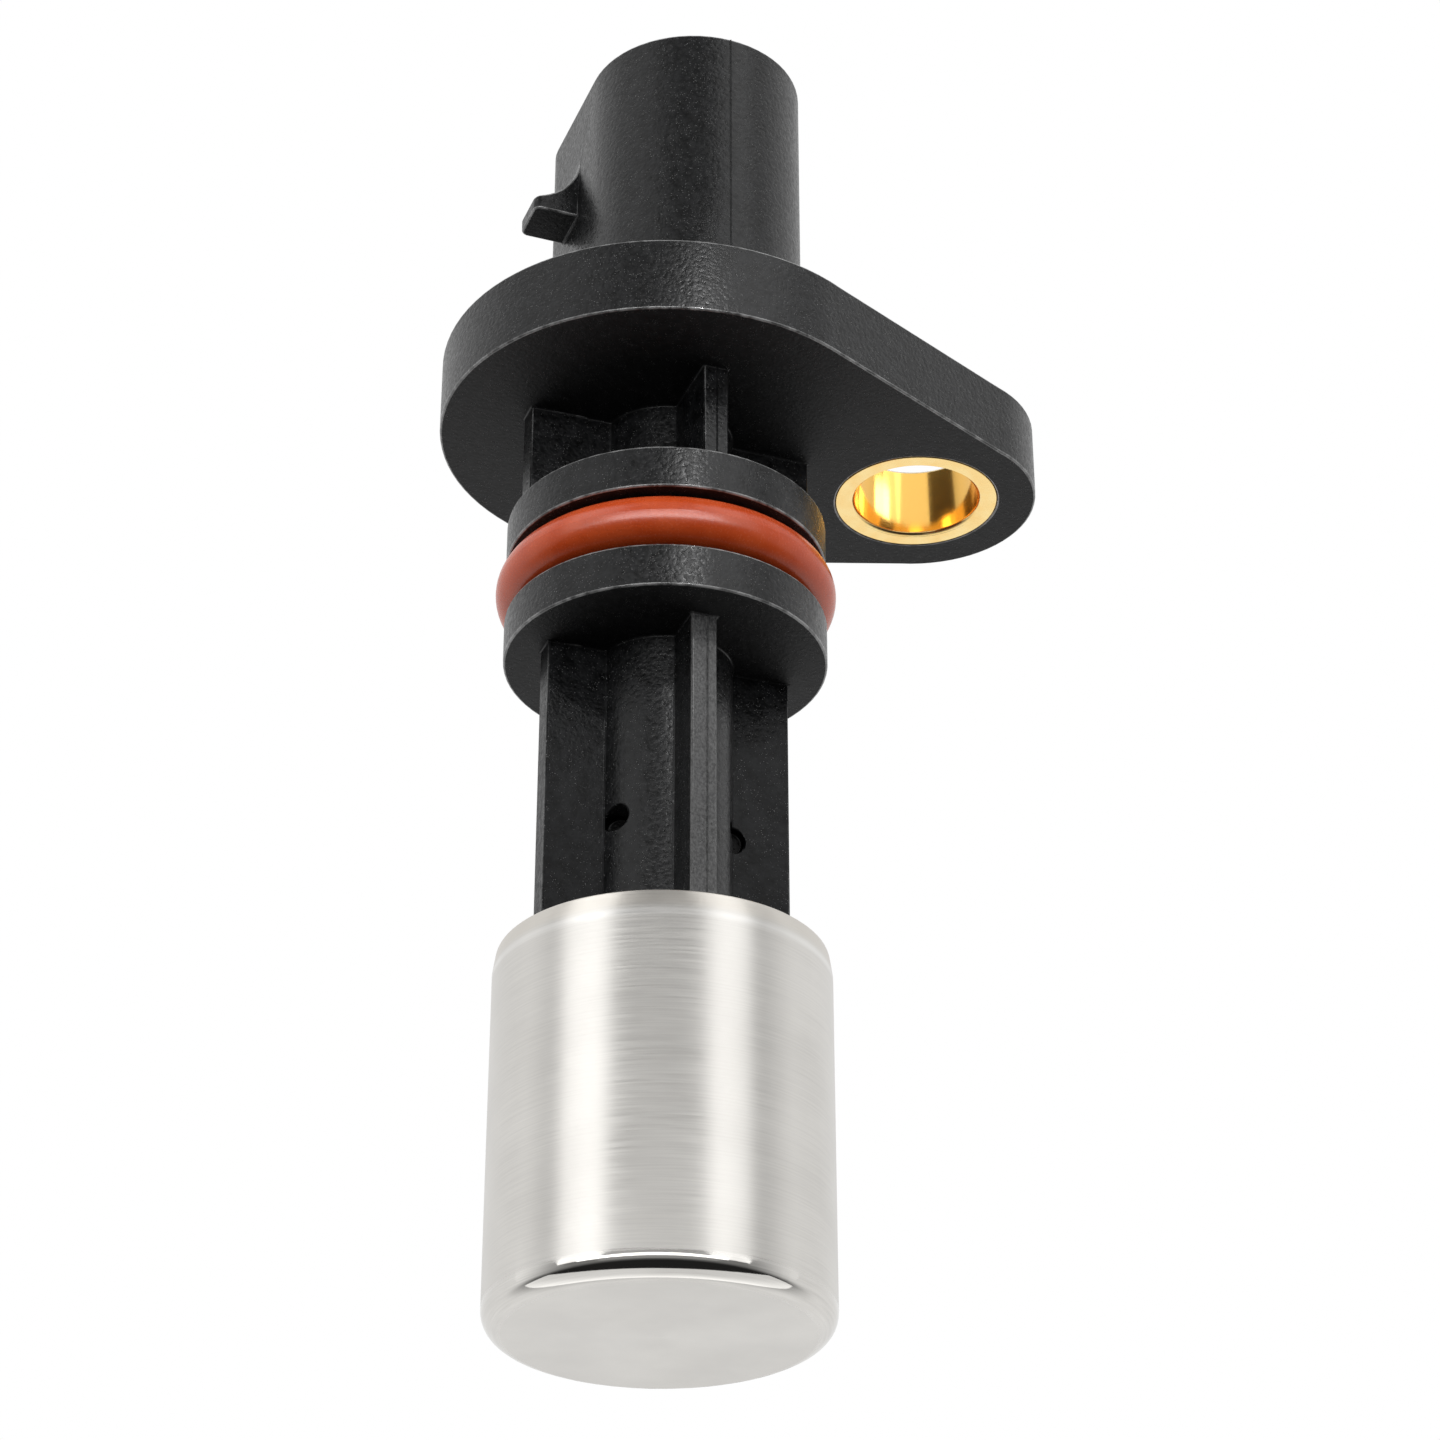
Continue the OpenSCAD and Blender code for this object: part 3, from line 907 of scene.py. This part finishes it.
@dataclass
class BoltSleeve:
    """The brass sleeve in the bolt ear."""

    edges: EdgeRounding = EdgeRounding(0.08, segments=2)
    finish: TurnedMetal = TurnedMetal(
        "sleeve_brass", colour=(1.0, 0.76, 0.34), shade=(0.98, 0.67, 0.25), roughness=(0.1, 0.18),
        # Deeper orange on the bore's walls: a painted reflection of the brass in itself.
        wall_reflection_tint=(1.0, 0.59, 0.14), bare=0.86,
    )

    def build(self) -> None:
        """Dress the sleeve."""
        dress("compression_sleeve", self.finish.make())
        self.edges.apply("compression_sleeve")


@dataclass
class SealRing:
    """The O-ring between the two lands, and the can's own seal."""

    outer: MouldedRubber = MouldedRubber(
        "ring_rust_orange", colour=(0.62, 0.072, 0.012), bloom=(0.7, 0.1, 0.024)
    )
    inner: MouldedRubber = MouldedRubber(
        "seal_black", colour=(0.02, 0.02, 0.02), bloom=(0.035, 0.035, 0.035)
    )

    def build(self) -> None:
        """Dress both rings."""
        dress("o_ring", self.outer.make())
        dress("can_seal", self.inner.make())


@dataclass
class SteelCan:
    """The drawn can at the tip."""

    corner_mm: float = 1.4
    lip_mm: float = 1.3
    colour: Colour = (0.74, 0.723, 0.69)
    shade: Colour = (0.63, 0.614, 0.585)
    edges: EdgeRounding = EdgeRounding(0.12, segments=3, sharp_deg=35.0)

    def build(self) -> None:
        """Dress the can, with its polish placed at its own closed end."""
        low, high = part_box("sensor_can")
        finish = BrushedSteel(
            "can_steel",
            colour=self.colour,
            shade=self.shade,
            tip_z_mm=low.z / MM,
            corner_mm=self.corner_mm,
            bend_z_mm=high.z / MM - self.lip_mm,
        )
        dress("sensor_can", finish.make())
        self.edges.apply("sensor_can")


@dataclass
class TerminalSet:
    """The three tin-plated terminals in the socket."""

    nodes: tuple[str, ...] = ("supply_terminal", "signal_terminal", "ground_terminal")
    edges: EdgeRounding = EdgeRounding(0.08, segments=2)
    finish: TurnedMetal = TurnedMetal(
        "terminal_tin", colour=(0.78, 0.74, 0.66), shade=(0.66, 0.6, 0.5), roughness=(0.2, 0.34),
        grain=Grain.ALONG_AXIS,
    )

    def build(self) -> None:
        """Dress the terminals."""
        material = self.finish.make()
        for node in self.nodes:
            dress(node, material)
            self.edges.apply(node)


# Dark and light tone of the compounds that several components share.
EPOXY = ((0.02, 0.02, 0.022), (0.04, 0.04, 0.044))
CERAMIC = ((0.42, 0.3, 0.17), (0.52, 0.38, 0.23))


@dataclass
class SensingStack:
    """What the can holds: carrier, magnet, plate, chips, board and the small components."""

    plastics: dict[str, MouldedPlastic] = field(default_factory=lambda: {
        "element_carrier": MouldedPlastic("carrier_grey", (0.08, 0.11, 0.12), (0.13, 0.17, 0.19)),
        "sensing_chip": MouldedPlastic("sensing_chip_epoxy", *EPOXY),
        "signal_chip": MouldedPlastic("signal_chip_epoxy", *EPOXY),
        "pull_up_resistor": MouldedPlastic("resistor_glaze", *EPOXY),
        "tip_pad": MouldedPlastic("pad_film", (0.62, 0.58, 0.48), (0.74, 0.7, 0.6)),
        "circuit_board": MouldedPlastic("board_mask", (0.02, 0.13, 0.05), (0.04, 0.2, 0.08)),
        "supply_capacitor": MouldedPlastic("supply_ceramic", *CERAMIC),
        "output_capacitor": MouldedPlastic("output_ceramic", *CERAMIC),
    })
    metals: dict[str, TurnedMetal] = field(default_factory=lambda: {
        "bias_magnet": TurnedMetal("magnet_sinter", (0.3, 0.31, 0.32), (0.22, 0.23, 0.24), (0.45, 0.6)),
        "flux_plate": TurnedMetal("plate_iron", (0.55, 0.56, 0.57), (0.45, 0.46, 0.47), (0.3, 0.45)),
    })

    def build(self) -> None:
        """Dress every inner piece."""
        for node, finish in {**self.plastics, **self.metals}.items():
            dress(node, finish.make())


def aimed(data: bpy.types.ID, target: Vector, way: Vector, distance: float) -> bpy.types.Object:
    """Add a lamp or a camera that stands off a point and faces it.

    Args:
        data: The lamp's or the camera's data.
        target: Point that it faces.
        way: Direction from that point to where it stands.
        distance: Distance from the point.

    Returns:
        The new object.
    """
    item = bpy.data.objects.new(data.name, data)
    item.location = target + way * distance
    item.rotation_euler = (-way).to_track_quat("-Z", "Y").to_euler()
    bpy.context.scene.collection.objects.link(item)
    return item


def lifted(facing: Vector, turn_deg: float, rise_deg: float) -> Vector:
    """Direction that is turned from a level one and raised above the horizon.

    Args:
        facing: Level direction to start from.
        turn_deg: Turn about the upright, to the right if positive.
        rise_deg: Angle above the horizon.

    Returns:
        The direction, one long.
    """
    turn, rise = math.radians(turn_deg), math.radians(rise_deg)
    level = Vector((
        facing.x * math.cos(turn) - facing.y * math.sin(turn),
        facing.x * math.sin(turn) + facing.y * math.cos(turn),
        0.0,
    ))
    return level * math.cos(rise) + Vector((0.0, 0.0, math.sin(rise)))


@dataclass
class PhotoCamera:
    """The photograph's view: from below and in front, turned so that the ear recedes to the right."""

    azimuth_deg: float = -23.4
    elevation_deg: float = -29.27
    target_mm: Triple = (3.8, -0.12, -20.6)
    distance_mm: float = 226.1
    lens_mm: float = 87.5
    sensor_mm: float = 36.0
    nearest_mm: float = 1.0

    def forward(self) -> Vector:
        """Direction in which the camera looks."""
        turn, rise = math.radians(-self.azimuth_deg), math.radians(-self.elevation_deg)
        return Vector((math.sin(turn) * math.cos(rise), math.cos(turn) * math.cos(rise), math.sin(rise)))

    def build(self) -> None:
        """Place the camera and make it the scene's."""
        data = bpy.data.cameras.new("photo_camera")
        data.sensor_fit = "HORIZONTAL"
        data.sensor_width = self.sensor_mm
        data.lens = self.lens_mm
        data.clip_start = self.nearest_mm * MM
        target = Vector(self.target_mm) * MM
        bpy.context.scene.camera = aimed(data, target, -self.forward(), self.distance_mm * MM)


@dataclass(frozen=True)
class SoftBox:
    """One soft studio light, placed round the part by its angle from the front.

    Attributes:
        name: Name of the light.
        turn_deg: Turn from the front, to the right if positive.
        rise_deg: Angle above the horizon.
        size: Width and height.
        radiance: Brightness of its face, where 1 shows as white.
        aim: What it falls on.
        sheen_only: Whether it shows in gloss alone.
        distance: Distance from the part.
    """

    name: str
    turn_deg: float
    rise_deg: float
    size: Span
    radiance: float
    aim: Aim = Aim.ALL
    sheen_only: bool = False
    distance: float = 0.6

    def build(self, facing: Vector, centre: Vector, plastic: Sequence[bpy.types.Object]) -> None:
        """Hang the light and turn it to the part.

        Args:
            facing: Level direction from the part to its front.
            centre: Point that the light faces.
            plastic: The moulded body and its seams.
        """
        data = bpy.data.lights.new(self.name, "AREA")
        data.shape = "RECTANGLE"
        data.size, data.size_y = self.size
        data.energy = self.radiance * math.pi * self.size[0] * self.size[1]
        light = aimed(data, centre, lifted(facing, self.turn_deg, self.rise_deg), self.distance)
        light.visible_diffuse = not self.sheen_only
        if self.aim is not Aim.ALL:
            self._restrict(light, plastic)

    def _restrict(self, light: bpy.types.Object, plastic: Sequence[bpy.types.Object]) -> None:
        """Let the light fall on what it is aimed at alone.

        Args:
            light: The light.
            plastic: The moulded body and its seams.
        """
        named = bpy.data.collections.new(self.name + "_falls_on")
        for piece in (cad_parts[self.aim.value],) if self.aim.is_part() else plastic:
            named.objects.link(piece)
        for entry in named.collection_objects:
            entry.light_linking.link_state = "EXCLUDE" if self.aim is Aim.OTHERS else "INCLUDE"
        light.light_linking.receiver_collection = named


@dataclass(frozen=True)
class Snoot:
    """A small lamp with a narrow cone, for the flange, the lands and the shaft."""

    name: str = "snoot"
    turn_deg: float = 17.0
    rise_deg: float = 30.0
    aim_z_mm: float = -16.5
    cone_deg: float = 7.4
    soft_edge: float = 0.35
    radius_mm: float = 6.0
    power_w: float = 0.36
    distance_mm: float = 250.0

    def build(self, facing: Vector) -> None:
        """Hang the lamp and turn it to the shaft.

        Args:
            facing: Level direction from the part to its front.
        """
        data = bpy.data.lights.new(self.name, "SPOT")
        data.spot_size = math.radians(self.cone_deg)
        data.spot_blend = self.soft_edge
        data.shadow_soft_size = self.radius_mm * MM
        data.energy = self.power_w
        target = Vector((0.0, 0.0, self.aim_z_mm * MM))
        aimed(data, target, lifted(facing, self.turn_deg, self.rise_deg), self.distance_mm * MM)


@dataclass
class Studio:
    """White tent, open and dark low in front, with soft boxes and a pale floor.

    Attributes:
        snoot: The narrow lamp.
        floor: Finish of the floor.
        floor_z: Height of the floor, well below the camera.
        floor_radius: Radius of the floor.
        floor_sides: Sides of its outline.
        centre_z: Height that the soft boxes face.
        front: Brightness of the tent above the opening.
        back: Brightness of the tent behind the part.
        far_floor: Brightness low behind the part.
        opening: Brightness of the opening low in front.
        low_band: Rise over which the low part changes to the tent, as a sine.
        high_turn: Turn over which the back changes to the front, as a cosine from the front.
        low_turn: The same for the low part.
        boxes: The soft boxes.
    """

    snoot: Snoot = Snoot()
    floor: PaleFloor = PaleFloor()
    floor_z: float = -0.4
    floor_radius: float = 3.0
    floor_sides: int = 96
    centre_z: float = -0.02
    front: float = 0.22
    back: float = 0.9
    far_floor: float = 0.95
    opening: float = 0.018
    low_band: Span = (-0.4, -0.15)
    high_turn: Span = (-0.2, 0.6)
    low_turn: Span = (-0.6, 0.15)
    boxes: tuple[SoftBox, ...] = (
        SoftBox("soft_box_left", -51.0, 30.0, (0.34, 0.7), 1.25, Aim.OTHERS),
        SoftBox("soft_box_left_flagged", -51.0, 30.0, (0.34, 0.7), 0.5, Aim.PLASTIC),
        SoftBox("soft_box_right", 46.0, 30.0, (0.3, 0.7), 1.15),
        SoftBox("soft_box_sleeve", 0.0, 30.0, (0.7, 0.5), 0.9, Aim.SLEEVE),
        SoftBox("sleeve_strip", 66.0, 31.0, (0.28, 0.14), 5.0, Aim.SLEEVE),
        SoftBox("sleeve_back_box", 180.0, 31.0, (0.4, 0.14), 3.0, Aim.SLEEVE),
        SoftBox("sleeve_back_panel", 180.0, -29.0, (0.8, 0.4), 0.13, Aim.SLEEVE, distance=0.4),
        SoftBox("soft_box_ring", 0.0, 11.0, (0.8, 0.24), 6.0, Aim.RING, sheen_only=True),
        SoftBox("soft_box_front", -4.0, 3.0, (1.3, 0.13), 2.2, Aim.OTHERS),
        SoftBox("floor_panel", 0.0, -85.0, (1.4, 0.29), 0.85, Aim.CAN, distance=0.35),
        SoftBox("front_panel", 0.0, 30.0, (1.2, 1.2), 0.14, Aim.OTHERS),
        SoftBox("side_panel_left", -80.0, 30.0, (0.5, 0.9), 0.1, Aim.CAN),
        SoftBox("side_panel_right", 76.0, 30.0, (0.5, 0.9), 0.13, Aim.CAN),
        SoftBox("soft_box_low", -4.0, 3.0, (0.62, 0.13), 5.5, Aim.PLASTIC),
        SoftBox("soft_box_low_sheen", -4.0, 3.0, (0.62, 0.13), 3.0, Aim.PLASTIC, sheen_only=True),
    )

    def build(self, camera: PhotoCamera, plastic: Sequence[bpy.types.Object]) -> None:
        """Set up the floor, the tent and the lights.

        Args:
            camera: The camera that stands in the part's front.
            plastic: The moulded body and its seams.
        """
        look = camera.forward()
        facing = Vector((-look.x, -look.y, 0.0)).normalized()
        self._floor()
        self._tent(facing)
        for box in self.boxes:
            box.build(facing, Vector((0.0, 0.0, self.centre_z)), plastic)
        self.snoot.build(facing)
        view = bpy.context.scene.view_settings
        view.view_transform = "Standard"
        view.look = "None"

    def _floor(self) -> None:
        """Lay a pale round floor that the part doesn't reflect."""
        bpy.ops.mesh.primitive_circle_add(
            vertices=self.floor_sides, radius=self.floor_radius, fill_type="NGON"
        )
        floor = bpy.context.object
        floor.name = "studio_floor"
        floor.location.z = self.floor_z
        floor.visible_diffuse = False
        floor.visible_glossy = False
        floor.data.materials.append(self.floor.make())

    def _tent(self, facing: Vector) -> None:
        """Make the surroundings: white as a backdrop, shaded as light.

        Args:
            facing: Level direction from the part to its front.
        """
        world = bpy.data.worlds.new("tent")
        world.use_nodes = True
        bpy.context.scene.world = world
        world.node_tree.nodes.clear()
        sheet = NodeSheet(world.node_tree)
        way = sheet.add("ShaderNodeTexCoord").outputs["Generated"]
        dot = sheet.add("ShaderNodeVectorMath", operation="DOT_PRODUCT")
        sheet.join(way, dot.inputs[0])
        dot.inputs[1].default_value = facing
        toward = dot.outputs["Value"]
        parts = sheet.add("ShaderNodeSeparateXYZ")
        sheet.join(way, parts.inputs[0])
        low = sheet.span(parts.outputs["Z"], self.low_band, FALL, soft=True)
        below = sheet.span(toward, self.low_turn, (self.far_floor, self.opening), soft=True)
        above = sheet.span(toward, self.high_turn, (self.back, self.front), soft=True)
        seen, shed = sheet.add("ShaderNodeBackground"), sheet.add("ShaderNodeBackground")
        for background in (seen, shed):
            background.inputs["Color"].default_value = WHITE
        sheet.join(sheet.between(low, above, below), shed.inputs["Strength"])
        pick = sheet.add("ShaderNodeMixShader")
        sheet.join(sheet.add("ShaderNodeLightPath").outputs["Is Camera Ray"], pick.inputs[0])
        sheet.join(shed.outputs[0], pick.inputs[1])
        sheet.join(seen.outputs[0], pick.inputs[2])
        sheet.join(pick.outputs[0], sheet.add("ShaderNodeOutputWorld").inputs["Surface"])


def clear_startup() -> None:
    """Remove what a new file starts with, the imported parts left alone."""
    for name in ("Cube", "Light", "Camera"):
        left_over = bpy.data.objects.get(name)
        if left_over is not None:
            bpy.data.objects.remove(left_over)


def main() -> None:
    """Build each sub-assembly, the camera and the studio in order."""
    logging.basicConfig(level=logging.INFO, format="%(name)s: %(message)s")
    clear_startup()
    plastic = MouldedBody().build()
    for assembly in (BoltSleeve(), SealRing(), SteelCan(), TerminalSet(), SensingStack()):
        LOG.info("building %s", type(assembly).__name__)
        assembly.build()
    camera = PhotoCamera()
    camera.build()
    Studio().build(camera, plastic)


if __name__ == "__main__":
    main()
